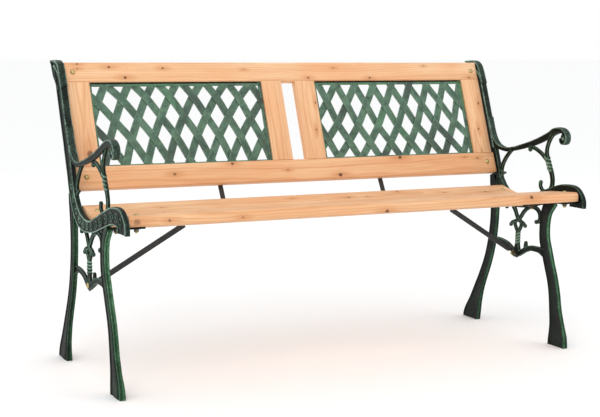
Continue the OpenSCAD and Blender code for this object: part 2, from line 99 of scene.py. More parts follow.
# ---------------------------------------------------------------- nodes
class Mat:
    """A material and short calls to add nodes to it."""

    def __init__(self, name):
        self.m = bpy.data.materials.new(name)
        self.m.use_nodes = True
        self.t = self.m.node_tree
        self.t.nodes.clear()
        self.out = self.t.nodes.new("ShaderNodeOutputMaterial")
        self.b = self.t.nodes.new("ShaderNodeBsdfPrincipled")
        self.t.links.new(self.b.outputs[0], self.out.inputs[0])

    def put(self, socket, v):
        """Links a socket or sets its value."""
        if isinstance(v, bpy.types.NodeSocket):
            self.t.links.new(v, socket)
        elif v is not None:
            if socket.type == "RGBA" and len(v) == 3:
                v = (*v, 1)
            socket.default_value = v

    def add(self, kind, *ins, **props):
        """Adds a node. Names with a capital are its inputs, the others its properties."""
        n = self.t.nodes.new("ShaderNode" + kind)
        named = {k: props.pop(k) for k in list(props) if k[0].isupper()}
        for k, v in props.items():
            setattr(n, k, v)
        for i, v in enumerate(ins):
            self.put(n.inputs[i], v)
        for k, v in named.items():
            self.put(n.inputs[k.replace("_", " ")], v)
        return n

    def math(self, op, a, b=None):
        return self.add("Math", a, b, operation=op).outputs[0]

    def swing(self, v, amount):
        """A 0 to 1 value turned into one that swings about zero."""
        return self.math("MULTIPLY", self.math("SUBTRACT", v, 0.5), amount)

    def vec(self, op, a, b=None):
        n = self.add("VectorMath", a, b, operation=op)
        return n.outputs[1] if op == "LENGTH" else n.outputs[0]

    def noise(self, p, scale, detail=3, rough=0.55, dist=0.0):
        n = self.add("TexNoise", Vector=p, Scale=scale, Detail=detail, Roughness=rough, Distortion=dist)
        return n.outputs[0]

    def span(self, v, a, b, lo=0.0, hi=1.0):
        """Eases from lo at a to hi at b."""
        return self.add("MapRange", v, a, b, lo, hi, interpolation_type="SMOOTHSTEP").outputs[0]

    def mix(self, f, a, b):
        n = self.t.nodes.new("ShaderNodeMix")
        n.data_type = "RGBA"
        n.clamp_factor = True
        self.put(n.inputs[0], f)
        self.put(n.inputs[6], a)
        self.put(n.inputs[7], b)
        return n.outputs[2]

    def bump(self, h, strength, dist, normal=None):
        return self.add("Bump", Strength=strength, Distance=dist, Height=h, Normal=normal).outputs[0]

    def paint(self, name):
        """A value painted on the mesh."""
        return self.add("Attribute", attribute_name=name).outputs["Fac"]

    def set(self, **kw):
        for k, v in kw.items():
            self.put(self.b.inputs[k.replace("_", " ")], v)
        return self.m

    def coords(self):
        return self.add("TexCoord").outputs["Object"]


def iron_material():
    """A dark under-coat, green brushed over it, and a pale wipe on the raised edges: dry-brushed wear, and
    partly a painted highlight on the edges that face the light.
    """
    m = Mat("painted_cast_iron")
    p = m.coords()
    hi = m.paint("hi")
    tone = m.paint("tone")
    cloud = m.noise(p, 22, 4, 0.6)
    grit = m.noise(p, 210, 5, 0.72)
    fine = m.noise(p, 560, 3, 0.6)
    # hi paints the pale wipe: worn dry-brush on raised edges, and partly a painted highlight
    wear_and_highlight = m.math("ADD", m.math("MULTIPLY", hi, 0.92), m.swing(cloud, 0.8))
    wear_and_highlight = m.math("ADD", wear_and_highlight, m.swing(grit, 1.0))
    # the legs are darker towards the feet, and more so at the back
    place = m.add("SeparateXYZ", p).outputs
    near_floor = m.span(place[2], 0.30, 0.02, 0, 0.12)
    at_back = m.span(place[1], 0.02, 0.10, 0, 0.20)
    legs = m.span(tone, 0.8, 1.0)
    wear_and_highlight = m.math("SUBTRACT", wear_and_highlight, m.math("MULTIPLY", m.math("ADD", near_floor, at_back), legs))
    dark = m.mix(m.span(cloud, 0.35, 0.7), (0.0015, 0.003, 0.002), (0.006, 0.013, 0.008))
    green = m.mix(tone, (0.040, 0.070, 0.053), (0.021, 0.080, 0.034))
    pale = m.mix(tone, (0.34, 0.48, 0.40), (0.13, 0.31, 0.17))
    col = m.mix(m.span(wear_and_highlight, 0.18, 0.66), dark, green)
    col = m.mix(m.span(wear_and_highlight, 0.62, 1.10), col, pale)
    speck = m.math("MULTIPLY", m.span(fine, 0.60, 0.70), m.span(grit, 0.46, 0.60))
    speck = m.math("MULTIPLY", speck, m.span(wear_and_highlight, 0.1, 0.8, 0.15, 0.75))
    col = m.mix(speck, col, (0.34, 0.48, 0.40))
    n = m.bump(grit, 0.6, 0.0012)
    n = m.bump(fine, 0.35, 0.0005, n)
    rough = m.span(grit, 0.3, 0.7, 0.42, 0.66)
    return m.set(Base_Color=col, Roughness=rough, Normal=n, Specular_IOR_Level=0.17)


def knot_marks(m, q, v, knots):
    """Knots at (along, across, radius, darkness, through if on an edge). Returns the dark cores, the
    stained wood round them, and how far they push the grain aside."""
    cores = halos = None
    pushed = []
    for along, across, radius, dark, *through in knots:
        along, across, radius = along / 1000, across / 1000, radius / 1000
        d = m.vec("SUBTRACT", q, (along, across, through[0] / 1000 if through else 0))
        deep = 1 if through else 0
        flat = m.vec("MULTIPLY", d, (0.8, 1, deep))
        wide = m.vec("MULTIPLY", d, (0.33, 1, deep))
        wobble = m.swing(m.noise(flat, 330, 2), radius * 1.1)
        size = m.math("ADD", m.vec("LENGTH", flat), wobble)
        core = m.math("MULTIPLY", m.span(size, radius * 1.2, radius * 0.5), dark)
        halo = m.span(m.vec("LENGTH", wide), radius * 3.6, radius * 0.4)
        side = m.math("SIGN", m.math("SUBTRACT", v, across))
        pushed.append(m.math("MULTIPLY", side, m.math("MULTIPLY", halo, radius * 1.3)))
        cores = core if cores is None else m.math("MAXIMUM", cores, core)
        halos = halo if halos is None else m.math("MAXIMUM", halos, halo)
    return cores, halos, pushed


def wood_material(name, seed, mid, along="x", tint=0.0, knots=(), pith=(30, -30), contrast=0.4):
    """Flat sawn fir. mid is the board's middle (across, through) and pith the tree's heart from there.
    Leaning boards are measured in the leaning frame."""
    m = Mat(name)
    lean = 0 if along == "y" else LEAN
    turned = m.add("Mapping", m.coords(), Rotation=(lean, 0, 0)).outputs[0]
    axes = m.add("SeparateXYZ", turned).outputs
    u, v, t = (axes[i] for i in AXES[along])
    q = m.add("CombineXYZ", u, v, t).outputs[0]
    shift = m.vec("ADD", q, (seed * 1.37, seed * 0.71, seed * 2.3))

    def grain(stretch, scale=1.0, detail=3, rough=0.55):
        return m.noise(m.vec("MULTIPLY", shift, stretch), scale, detail, rough)

    # growth rings round the pith, bent by slow noise and by the knots
    vv = m.math("ADD", v, m.swing(grain((3.2, 14, 14), rough=0.5), 0.022))
    vv = m.math("ADD", vv, m.swing(grain((1.1, 4, 4), detail=2, rough=0.5), 0.07))
    tt = m.math("ADD", t, m.swing(grain((1.6, 3, 3), 1.3, 2), 0.05))
    cores, halos, pushed = knot_marks(m, q, v, knots)
    for push in pushed:
        vv = m.math("SUBTRACT", vv, push)
    dv = m.math("SUBTRACT", vv, (mid[0] + pith[0]) / 1000)
    dt = m.math("SUBTRACT", tt, (mid[1] + pith[1]) / 1000)
    r = m.math("POWER", m.math("ADD", m.math("MULTIPLY", dv, dv), m.math("MULTIPLY", dt, dt)), 0.5)
    uneven = m.noise(m.add("CombineXYZ", m.math("MULTIPLY", r, 60), seed, 0.0).outputs[0], 1.0, 2)
    turns = m.math("ADD", m.math("MULTIPLY", r, 1000 / RING_W), m.math("MULTIPLY", uneven, 2.4))
    saw = m.math("FRACT", turns)
    late = m.math("MULTIPLY", m.span(saw, 0.35, 0.93), m.span(saw, 1.0, 0.95))
    year = m.noise(m.add("CombineXYZ", m.math("FLOOR", turns), seed, 0.0).outputs[0], 3.7, 0)
    late = m.math("MULTIPLY", late, m.span(year, 0.25, 0.7, 0.25, 1.0))
    streak = grain((16, 620, 620), detail=2, rough=0.6)
    pores = grain((60, 1500, 1500), detail=1, rough=0.6)
    band = grain((2.2, 30, 30), rough=0.6)
    # colours, from the pale early wood to the knots
    col = m.mix(m.span(band, 0.32, 0.70), (0.785, 0.445, 0.232), (0.880, 0.585, 0.350))
    col = m.mix(m.span(m.noise(shift, 6, 2), 0.45, 0.75, 0, 0.7), col, (0.820, 0.425, 0.215))
    col = m.mix(tint, col, (0.690, 0.310, 0.120))
    col = m.mix(m.math("MULTIPLY", late, contrast), col, (0.520, 0.190, 0.055))
    col = m.mix(m.math("MULTIPLY", m.span(streak, 0.42, 0.78), 0.26), col, (0.600, 0.270, 0.100))
    col = m.mix(m.math("MULTIPLY", m.span(pores, 0.60, 0.78), 0.22), col, (0.420, 0.160, 0.060))
    if knots:
        col = m.mix(m.math("MULTIPLY", halos, 0.42), col, (0.520, 0.180, 0.050))
        col = m.mix(cores, col, (0.075, 0.026, 0.010))
    height = m.math("SUBTRACT", m.math("MULTIPLY", streak, -0.5), m.math("MULTIPLY", late, 0.5))
    n = m.bump(height, 0.3, 0.0005)
    rough = m.span(streak, 0.3, 0.7, 0.46, 0.60)
    return m.set(Base_Color=col, Roughness=rough, Normal=n, Specular_IOR_Level=0.3)


def lattice_material():
    """Mottled green resin with darker grey patches, a painted highlight on the strips' edges and a black
    painted shadow line under the top rail.
    """
    m = Mat("lattice_resin")
    p = m.coords()
    hi = m.paint("hi")
    tone = m.paint("tone")
    patch = m.noise(p, 34, 4, 0.65, 0.8)
    grit = m.noise(p, 300, 3, 0.65)
    big = m.noise(p, 8, 3, 0.6)
    col = m.mix(m.span(patch, 0.30, 0.70), (0.040, 0.084, 0.058), (0.105, 0.200, 0.132))
    grey = m.math("ADD", tone, m.swing(big, 1.4))
    col = m.mix(m.span(grey, 0.35, 0.85, 0, 0.85), col, (0.036, 0.048, 0.042))
    col = m.mix(m.span(grey, 0.15, -0.25, 0, 0.7), col, (0.085, 0.250, 0.110))
    # painted highlight along the strips' raised edges, broken up by grit
    edge = m.math("ADD", hi, m.swing(grit, 1.1))
    col = m.mix(m.span(grit, 0.52, 0.72, 0, 0.45), col, (0.17, 0.29, 0.21))
    col = m.mix(m.span(edge, 0.60, 1.25, 0, 0.9), col, (0.26, 0.40, 0.31))
    # the set-back strip is painted below zero, and is black: a painted shadow of the gap under the top rail
    col = m.mix(m.span(hi, -0.2, -0.8), col, (0.004, 0.005, 0.004))
    n = m.bump(grit, 0.35, 0.0005)
    rough = m.span(grit, 0.3, 0.7, 0.46, 0.64)
    return m.set(Base_Color=col, Roughness=rough, Normal=n, Specular_IOR_Level=0.35)


def steel_material():
    m = Mat("black_steel")
    p = m.coords()
    patch = m.noise(p, 60, 4)
    grain = m.noise(p, 700, 3)
    col = m.mix(m.span(patch, 0.35, 0.7), (0.008, 0.008, 0.008), (0.020, 0.019, 0.017))
    n = m.bump(grain, 0.3, 0.0003)
    return m.set(Base_Color=col, Roughness=m.span(grain, 0.3, 0.7, 0.35, 0.5), Normal=n)


def brass_material(name, bright, deep, polish):
    m = Mat(name)
    p = m.coords()
    patch = m.noise(p, 240, 4)
    grain = m.noise(p, 1500, 2)
    col = m.mix(m.span(patch, 0.35, 0.72), bright, deep)
    n = m.bump(grain, 0.2, 0.0002)
    rough = m.span(patch, 0.3, 0.7, polish, polish + 0.2)
    return m.set(Base_Color=col, Metallic=1.0, Roughness=rough, Normal=n)


# ---------------------------------------------------------------- mesh helpers
class Shell:
    """Collects vertices, faces and two paint values a vertex: hi, how raised it is and partly how much
    painted highlight it gets, and tone.
    """

    def __init__(self):
        self.v, self.f, self.hi, self.tone = [], [], [], []
        self.n = 0

    def add(self, v, f, hi, tone):
        v = np.asarray(v, float).reshape(-1, 3)
        self.v.append(v)
        self.f += [tuple(int(i) + self.n for i in q) for q in f]
        self.hi.append(np.broadcast_to(np.asarray(hi, float), (len(v),)).copy())
        self.tone.append(np.broadcast_to(np.asarray(tone, float), (len(v),)).copy())
        self.n += len(v)

    def grid(self, rings, hi, tone=0.0, caps=(True, True)):
        """A tube through m rings of k points each. hi is given for every point, ring or place in a ring."""
        rings = np.asarray(rings, float)
        m, k = rings.shape[:2]
        f = []
        for i in range(m - 1):
            for j in range(k):
                a, b = i * k + j, i * k + (j + 1) % k
                f.append((a, b, b + k, a + k))
        v = rings.reshape(-1, 3)
        h = np.broadcast_to(np.asarray(hi, float), (m, k)).reshape(-1)
        extra = []
        for e, on in zip((0, m - 1), caps):
            if on:
                c = len(v) + len(extra)
                extra.append(rings[e].mean(0))
                for j in range(k):
                    a, b = e * k + j, e * k + (j + 1) % k
                    f.append((c, b, a) if e == 0 else (c, a, b))
        if extra:
            v = np.vstack([v, extra])
            h = np.concatenate([h, [float(h.mean())] * len(extra)])
        self.add(v, f, h, tone)

    def build(self, name, mat, side=1, smooth=40):
        """The object in metres, mirrored if side is -1, with edges over smooth degrees kept sharp."""
        v = np.vstack(self.v) / 1000
        v[:, 0] *= side
        me = bpy.data.meshes.new(name)
        me.from_pydata(v.tolist(), [], self.f if side > 0 else [q[::-1] for q in self.f])
        for key, vals in (("hi", self.hi), ("tone", self.tone)):
            at = me.attributes.new(key, "FLOAT", "POINT")
            at.data.foreach_set("value", np.concatenate(vals).astype(np.float32))
        me.materials.append(mat)
        me.polygons.foreach_set("use_smooth", [True] * len(me.polygons))
        o = bpy.data.objects.new(name, me)
        bpy.context.scene.collection.objects.link(o)
        me.update()
        me.set_sharp_from_angle(angle=math.radians(smooth))
        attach(o, "root")
        return o


def curve(k, n=8):
    """Catmull-Rom through the knots."""
    k = np.asarray(k, float)
    out = []
    for i in range(len(k) - 1):
        a, b, c, d = k[max(i - 1, 0)], k[i], k[i + 1], k[min(i + 2, len(k) - 1)]
        for j in range(n):
            t = j / n
            out.append(0.5 * (2 * b + (c - a) * t + (2 * a - 5 * b + 4 * c - d) * t * t
                              + (3 * b - a - 3 * c + d) * t ** 3))
    out.append(k[-1])
    return np.array(out)


def frames(c):
    """Unit directions along a curve and square to it."""
    d = np.gradient(c[:, :2], axis=0)
    d /= np.linalg.norm(d, axis=1)[:, None]
    return d, np.stack([-d[:, 1], d[:, 0]], 1)


def bar(s, knots, profile, x0, x1, n=8, tone=0.0, tips=(0, 0), floor=None):
    """Sweeps a section along a side-view curve. A section point is (a, b, f, d, hi): across a * w / 2 + b,
    out x0 + (x1 - x0) * f + d. x0 and x1 may be functions of (y, z). tips are the radii of round ends."""
    c = curve(knots, n)
    t, nn = frames(c)
    rows = [(c[i, :2], nn[i], c[i, 2] / 2, 1.0) for i in range(len(c))]
    for end, radius in ((0, tips[0]), (-1, tips[1])):
        if radius:
            sign = -1 if end == 0 else 1
            extra = []
            for degrees in (25, 50, 70, 85):
                a = math.radians(degrees)
                centre = c[end, :2] + sign * t[end] * radius * math.sin(a)
                extra.append((centre, nn[end], c[end, 2] / 2, math.cos(a)))
            rows = extra[::-1] + rows if end == 0 else rows + extra
    rings = []
    for p, m, half, k in rows:
        lo = x0(*p) if callable(x0) else x0
        up = x1(*p) if callable(x1) else x1
        mid = (lo + up) / 2
        ring = []
        for a, b, f, d, _ in profile:
            w = (a * half + b) * k
            x = lo + (up - lo) * f + d
            ring.append((mid + (x - mid) * (0.35 + 0.65 * k), p[0] + m[0] * w, p[1] + m[1] * w))
        rings.append(ring)
    rings = np.array(rings)
    if floor is not None:
        rings[..., 2] = np.maximum(rings[..., 2], floor)
    painted = np.array([[q[4] for q in profile]] * len(rows))
    s.grid(rings[:, ::-1], painted[:, ::-1], tone)


def both(half):
    """A section given for the outer half, mirrored to the inner side."""
    return half + [(a, b, 1 - f, -d, h) for a, b, f, d, h in half[::-1]]


def blob(s, p, r, x0, x1, hi=.6, tone=0.0):
    """A rounded button: centre (y, z), radius r, from x0 to x1."""
    sides = 20
    mid, half = (x0 + x1) / 2, (x1 - x0) / 2
    ang = np.linspace(0, 2 * math.pi, sides, endpoint=False)
    rings, painted = [], []
    for a in np.radians(np.linspace(-90, 90, 9)):
        co, si = math.cos(a), math.sin(a)
        rr = r * (co ** .6 if co > 1e-6 else 0.02)
        y, z = p[0] + rr * np.cos(ang), p[1] + rr * np.sin(ang)
        rings.append(np.stack([np.full(sides, mid + half * si), y, z], 1))
        painted.append(hi * (.55 + .45 * abs(si)))
    s.grid(np.array(rings), np.array(painted)[:, None], tone)


def ring_at(s, p, a, b, tube, x, hi=.9, tilt=0.0, tone=0.0, part=(0, 360)):
    """An oval bead on the side face, or part of one: half sizes a and b, round tube, at depth x."""
    whole = part == (0, 360)
    m = 28
    ang = np.radians(np.linspace(part[0], part[1], m + 1))
    ca, sa = math.cos(tilt), math.sin(tilt)
    c = np.stack([a * np.cos(ang), b * np.sin(ang)], 1)
    c = np.stack([p[0] + c[:, 0] * ca - c[:, 1] * sa, p[1] + c[:, 0] * sa + c[:, 1] * ca], 1)
    d = np.gradient(c, axis=0)
    if whole:
        d[0] = d[-1] = c[1] - c[-2]
    d /= np.linalg.norm(d, axis=1)[:, None]
    n = np.stack([-d[:, 1], d[:, 0]], 1)
    th = np.linspace(0, 2 * math.pi, 8, endpoint=False)
    rings = []
    for i in range(m + 1):
        k = 1 if whole else max(.25, math.sin(math.pi * i / m)) ** .5
        rings.append([(x + tube * k * math.cos(q), *(c[i] + n[i] * tube * k * math.sin(q))) for q in th])
    painted = np.array([[hi * max(0, math.cos(q)) for q in th]] * (m + 1))
    s.grid(np.array(rings), painted, tone, caps=(not whole, not whole))


def collar(s, p, tilt, w, t, tube):
    """A turned collar round a bar of the scroll work: w across, t through, tilted."""
    d = np.array([math.cos(tilt), math.sin(tilt)])
    e = np.array([-d[1], d[0]])
    th = np.linspace(0, 2 * math.pi, 10, endpoint=False)
    rings = []
    for a in np.linspace(0, 2 * math.pi, 25):
        ca, sa = math.cos(a), math.sin(a)
        ring = []
        for b in th:
            off = tube * math.cos(b)
            yz = np.array(p) + d * ca * (w / 2 - tube + off) + e * (tube * 1.15 * math.sin(b) + sa * 1.6)
            ring.append((SCROLL_MID + sa * (t / 2 - tube + off), yz[0], yz[1]))
        rings.append(ring)
    painted = [0.15 + .9 * max(0, math.cos(b)) for b in th]
    s.grid(np.array(rings)[:, ::-1], painted[::-1], 0.4, caps=(False, False))


def block(s, lo, hi, place, paint=.15, r=1.2):
    """A box with rounded edges, placed by a function from local (x, y, z) to frame millimetres."""
    lo, hi = np.array(lo, float), np.array(hi, float)
    r = min(r, *((hi - lo) / 2.01))
    half_way = .3 * r
    levels = ((lo[2], r), (lo[2] + half_way, half_way), (lo[2] + r, 0),
              (hi[2] - r, 0), (hi[2] - half_way, half_way), (hi[2], r))
    rings = []
    for z, k in levels:
        x0, y0, x1, y1 = lo[0] + k, lo[1] + k, hi[0] - k, hi[1] - k
        c = max(r - k, .05)
        corners = ((x1 - c, y1 - c, 0), (x0 + c, y1 - c, 90), (x0 + c, y0 + c, 180), (x1 - c, y0 + c, 270))
        ring = []
        for cx, cy, start in corners:
            for a in (0, 30, 60, 90):
                b = math.radians(start + a)
                ring.append((cx + c * math.cos(b), cy + c * math.sin(b), z))
        rings.append([place(*w) for w in ring])
    s.grid(np.array(rings), paint)


def in_slat(i):
    """From a slat's own frame, at its front edge, to the bench's."""
    y0, z0, tilt, _ = SLATS[i]
    c, s = math.cos(math.radians(tilt)), math.sin(math.radians(tilt))
    return lambda x, y, z: (x, y0 + y * c - z * s, z0 + y * s + z * c)


def in_back(x, y, z):
    """From the leaning frame of the back to the bench's."""
    c, s = math.cos(LEAN), math.sin(LEAN)
    return (x, BACK[0] + y * c + z * s, BACK[1] - y * s + z * c)


# ---------------------------------------------------------------- sections of the castings
# the last value of a section point is hi: how raised it is, and partly a painted highlight on the edges that
# face the light
SCROLL = both([(-1, 0, .55, 0, .15), (-1, 0, .8, 0, .3), (-1, .5, .95, 0, .8), (-1, 1.4, 1, 0, .85),
               (-1, 2.4, 1, -.3, .4), (-.2, 0, 1, -1.3, 0), (.2, 0, 1, -1.3, 0), (1, -2.4, 1, -.3, .4),
               (1, -1.4, 1, 0, .85), (1, -.5, .95, 0, .8), (1, 0, .8, 0, .3), (1, 0, .55, 0, .15)])
ROUND = both([(-1, 0, .52, 0, .2), (-1, .4, .8, 0, .4), (-.72, 0, 1, -.3, .55), (-.3, 0, 1, 0, .6),
              (.3, 0, 1, 0, .6), (.72, 0, 1, -.3, .55), (1, -.4, .8, 0, .4), (1, 0, .52, 0, .2)])
LEG = [(-1, 0, .5, 0, .1), (-1, .6, .9, 0, .2), (-1, 1.8, 1, -.1, .35), (-1, 3.2, 1, -.1, .2),
       (-1, 4.6, 1, -1.9, 0), (-.28, 0, 1, -1.9, 0), (-.2, 0, 1, -.6, .3), (-.08, 0, 1, 0, .5),
       (.2, 0, 1, .0, .3), (.44, 0, 1, 0, .5), (.56, 0, 1, -.6, .3), (.62, 0, 1, -1.9, 0),
       (.76, 0, 1, -1.9, 0), (1, -3.2, 1, -.3, .4), (1, -1.6, 1, 0, .85), (1, -.4, .97, 0, 1.0),
       (1, 0, .86, 0, .75), (1, -.6, .74, 0, .5), (1, -.7, .58, 0, .55), (1, -.2, .46, 0, .8),
       (1, 0, .28, 0, .95), (1, 0, .1, 0, .85), (1, -.5, 0, 0, .6), (1, -1.8, 0, 0, .55),
       (1, -3.4, 0, .3, .2), (.7, 0, 0, 1.6, 0), (-.5, 0, 0, 1.6, 0), (-1, 4.4, 0, 1.4, 0),
       (-1, 3, 0, .2, .3), (-1, 1.4, 0, 0, .4), (-1, .4, .1, 0, .2)]
BAND = [(-1, 0, .5, 0, .2), (-1, .3, .88, 0, .5), (-1, 1.0, 1, -.1, 1), (-1, 2.6, 1, 0, 1),
        (-1, 3.8, 1, -1.2, .3), (-1, 5.4, 1, -2.4, 0), (-.3, 0, 1, -2.6, .12), (.3, 0, 1, -2.6, .12),
        (1, -6.4, 1, -2.4, 0), (1, -4.8, 1, -1.2, .3), (1, -3.4, 1, 0, .9), (1, -1.4, 1, .0, 1),
        (1, -.3, 1, -.8, .7), (1, .1, .7, 0, .25), (1, .1, .35, 0, .25), (1, -.3, 0, .8, .6),
        (1, -1.4, 0, 0, .8), (1, -3.6, 0, 0, .5), (1, -4.6, 0, 1.2, 0), (.2, 0, 0, 1.6, 0),
        (-.5, 0, 0, 1.6, 0), (-1, 3, 0, 1, .1), (-1, 1.0, 0, .3, .3), (-1, .3, .12, 0, .3)]
UPRIGHT = [(-1, 0, .6, 0, .2), (-1, .6, .92, 0, .5), (-1, 1.6, 1, -.3, .85), (-1, 3.6, 1, -.2, .6),
           (-1, 5, 1, -2.6, 0), (-.3, 0, 1, -3.4, .25), (.35, 0, 1, -3.4, .25), (1, -8, 1, -2.8, 0),
           (1, -6.4, 1, -.8, .5), (1, -4.2, 1, 0, .75), (1, -1.6, 1, 0, .85), (1, -.3, 1, -1, .95),
           (1, .3, .84, 0, .34), (1, .6, .5, 0, .3), (1, .3, .16, 0, .34), (1, -.3, 0, 1, .95),
           (1, -1.6, 0, 0, .9), (1, -4.2, 0, 0, .4), (1, -6.4, 0, 1.2, .1), (1, -8, 0, 6, 0),
           (.3, 0, 0, 6.5, 0), (-.3, 0, 0, 6.5, 0), (-1, 5, 0, 6, 0), (-1, 3.6, 0, 4.4, .2),
           (-1, 1.6, 0, 4.2, .3), (-1, .6, .3, 0, .3)]
ARM = [(1, 0, .6, 0, .15), (1, -.6, .95, 0, .3), (1, -1.6, 1, -.6, .4), (.3, 0, 1, -1.6, .05),
       (-.2, 0, 1, -1.6, .05), (-1, 5.2, 1, -1.2, .2), (-1, 4, 1, -.1, .6), (-1, 1.6, 1, 0, .9),
       (-1, .4, 1, -.9, .8), (-1, 0, .8, 0, .5), (-1, -.3, .5, 0, .45), (-1, 0, .2, 0, .5),
       (-1, .4, 0, .9, .8), (-1, 1.6, 0, 0, .9), (-1, 3.6, 0, .2, .5), (-1, 4.8, 0, 1.4, .1),
       (-.2, 0, .12, 1.6, 0), (.3, 0, .12, 1.6, 0), (1, -1.6, .1, .8, .2), (1, -.6, .2, 0, .2)]
FLANGE_SEC = both([(-1, 0, .5, 0, .35), (-1, .4, .85, 0, .4), (-1, 1.4, 1, 0, .7), (.3, 0, 1, 0, .8),
                   (1, -1.2, 1, 0, .95), (1, -.2, 1, -1, .8), (1, 0, .8, 0, .45), (1, .3, .5, 0, .4)])

# ---------------------------------------------------------------- side view of the castings
BAND_K = [(-240.5, 371, 54), (-239.5, 386, 53), (-225.5, 402, 45), (-196, 405, 41), (-165, 401, 39),
          (-115, 386, 36), (-65, 370, 33.5), (-38, 362, 30), (-12, 358, 28.5), (15, 357.5, 31),
          (39, 361, 35), (62, 369, 38), (85, 388, 38), (104, 413, 38), (116, 440, 39.5), (124, 464, 37.5),
          (134.5, 492, 37), (150, 532, 36)]
UP_K = [(132, 489, 36), (153, 540, 36.5), (177, 600, 36.5), (200.5, 660, 36), (207, 675, 34),
        (219, 693, 27), (232, 706, 17), (242, 714, 9)]
CROWN = [(190, 682), (199.5, 705), (210, 721), (226, 729), (246, 730), (262, 729.5), (272.5, 727),
         (264, 717), (256, 703), (247, 690), (235, 683), (224, 672), (206, 664)]
FLANGE = [(184, 668, 6), (190.5, 682, 6), (201, 703, 6.5), (211.5, 717.5, 7), (227, 725, 7),
          (246, 726.3, 6.5), (262, 726, 5.5), (270, 725, 4)]
RIM = [(206, 660, 9), (222, 672, 8), (235, 683, 7), (245, 691, 7), (254, 704, 6), (262, 717, 5.5),
       (269, 724.5, 4)]
FRONT_LEG = [(-186, -4, 66), (-186, 8, 65), (-184, 25, 63), (-177, 62, 48), (-170, 95, 40.5),
             (-163, 135, 37), (-153, 170, 35), (-138, 207, 34.5), (-124, 243, 35), (-113.5, 272, 35),
             (-111, 302, 34), (-113, 330, 35), (-119, 350, 36), (-129, 367, 40), (-138, 379, 42)]
REAR_LEG = [(208.5, -4, 66), (206, 8, 65), (200.5, 25, 61), (188.5, 60, 46), (176, 93, 36), (163, 122, 31),
            (150, 150, 29), (137, 181, 28), (127.5, 212, 28), (120.5, 243, 28), (116, 273, 28),
            (113.8, 303, 28), (113.5, 335, 29), (115, 365, 31), (118, 395, 34), (119.5, 420, 35)]
ARM_K = [(150, 576, 12), (142, 553, 13), (132, 530, 14), (120, 512, 15), (104, 500.5, 14), (85, 495, 12.5),
         (66, 493.5, 12), (32, 499.5, 12.5), (-10, 509.5, 14), (-54, 522, 16), (-87, 534, 17),
         (-115, 546, 17), (-138, 555.5, 17), (-158, 560.5, 15.5), (-175, 559, 13.5), (-187, 551, 12),
         (-190, 540, 11), (-186, 531.5, 10), (-178.5, 529.5, 9), (-172, 533, 8), (-170, 539.5, 7)]
POST = [(-136, 553, 12), (-124, 541, 11), (-113.5, 524, 10.5), (-108.5, 508, 10.5), (-109, 492, 13),
        (-116, 476, 14), (-125, 459, 14), (-133, 444, 13), (-136.5, 428, 13), (-134, 413, 12),
        (-124, 402, 10), (-110, 398, 8.5), (-97, 400, 9), (-88.5, 408, 9.5), (-86.5, 418, 9)]
STRUT = [(-110, 480, 9), (-101, 486, 10), (-87, 495, 10), (-71, 502, 9.5), (-55, 507, 10), (-38, 508, 10)]
RING = [(44, 494, 9), (58, 483, 10), (72, 468, 11), (82, 453, 11.5), (87, 438, 12), (90, 420, 14)]
SPUR = [(100, 428, 26), (88, 427, 18), (78, 429, 9), (69, 430.5, 4)]
ARCH = [(-75, 312.5, 9), (-85, 314.5, 9.5), (-91, 324, 10.5), (-89, 337, 11), (-79, 346.5, 11),
        (-63, 351, 11), (-46, 349, 11), (-31, 342, 10.5), (-18, 331, 10.5), (-8, 319, 10.5), (3, 309, 10),
        (17, 304.5, 9), (29, 300, 8), (35, 294, 8)]
HORN = [(27, 344, 13), (18, 334, 11.5), (11, 322, 11), (3, 311, 10.5), (-9, 305.5, 9.5), (-20, 302, 8.5),
        (-28, 296, 8)]
HEART = [[(-9, 305, 9), (-11, 296, 9), (-6, 286, 9), (2, 275, 10)], [(14, 305, 9), (17, 296, 9),
          (11, 286, 9), (3, 275, 10)]]
STEM = [(2.5, 280, 12), (2.5, 270, 15), (2.5, 255, 15), (2.5, 242, 17), (3, 228, 26)]
TIE = [(-112, 236, 22), (-98, 240, 18), (-82, 241, 15.5), (-58, 240, 15), (-38, 234, 15), (-20, 225, 15),
       (-6, 218, 15), (5, 216, 15), (15, 219, 15), (30, 229, 14.5), (46, 237, 13.5), (66, 242, 12.5),
       (86, 243, 14.5), (100, 241, 18), (116, 236, 22)]
FINGER = [(-34, 236, 14), (-34.5, 246, 11), (-34.5, 252, 9.5)]
BUD = [(63, 358, 16), (59, 346, 11.5), (57, 337, 9)]
# the scroll bars, each with the radii of its round ends
SCROLL_BARS = ((POST, (0, 5)), (STRUT, (0, 5)), (RING, (0, 0)), (SPUR, (0, 2)), (ARCH, (5, 4)),
               (HORN, (0, 4)), (HEART[0], (0, 0)), (HEART[1], (0, 0)), (STEM, (0, 0)), (TIE, (0, 0)),
               (FINGER, (0, 4)), (BUD, (0, 3)))
# the buttons that the scrolls curl up to: centre and radius
BUTTONS = (((-88, 420), 5.8), ((-37, 503), 7), ((-76, 313), 6), ((35, 293), 5.6), ((-28, 296), 5.6),
           ((57, 338), 5.2))
# the band's relief: y, z, tilt in degrees and half length
MOTIFS = [(-230, 391, -70, 15), (-203, 403, -12, 15), (-168, 400.5, -8, 16), (-131, 391, -17, 16),
          (-95, 380, -18, 15), (-61, 369, -17, 14), (-29, 360.5, -10, 12), (1, 358, 0, 12),
          (30, 359.5, 12, 13), (59, 368, 26, 14), (83, 388, 46, 14), (102, 414, 60, 13),
          (115, 442, 68, 12)]


def ease(v):
    v = min(max(v, 0), 1)
    return v * v * (3 - 2 * v)


def arm_inner(y, z):
    """The arm's inner face: slimmer between its front scroll and the upright."""
    return WAIST_IN - (WAIST_IN - ARM_IN) * (ease((-105 - y) / 45) + ease((y - 60) / 58))


def leg_inner(y, z):
    return BAND_IN - FOOT_OUT * ease(1 - z / FOOT_H)


def leg_outer(y, z):
    return HALF - 0.5 + 0.5 * ease(1 - z / FOOT_H)


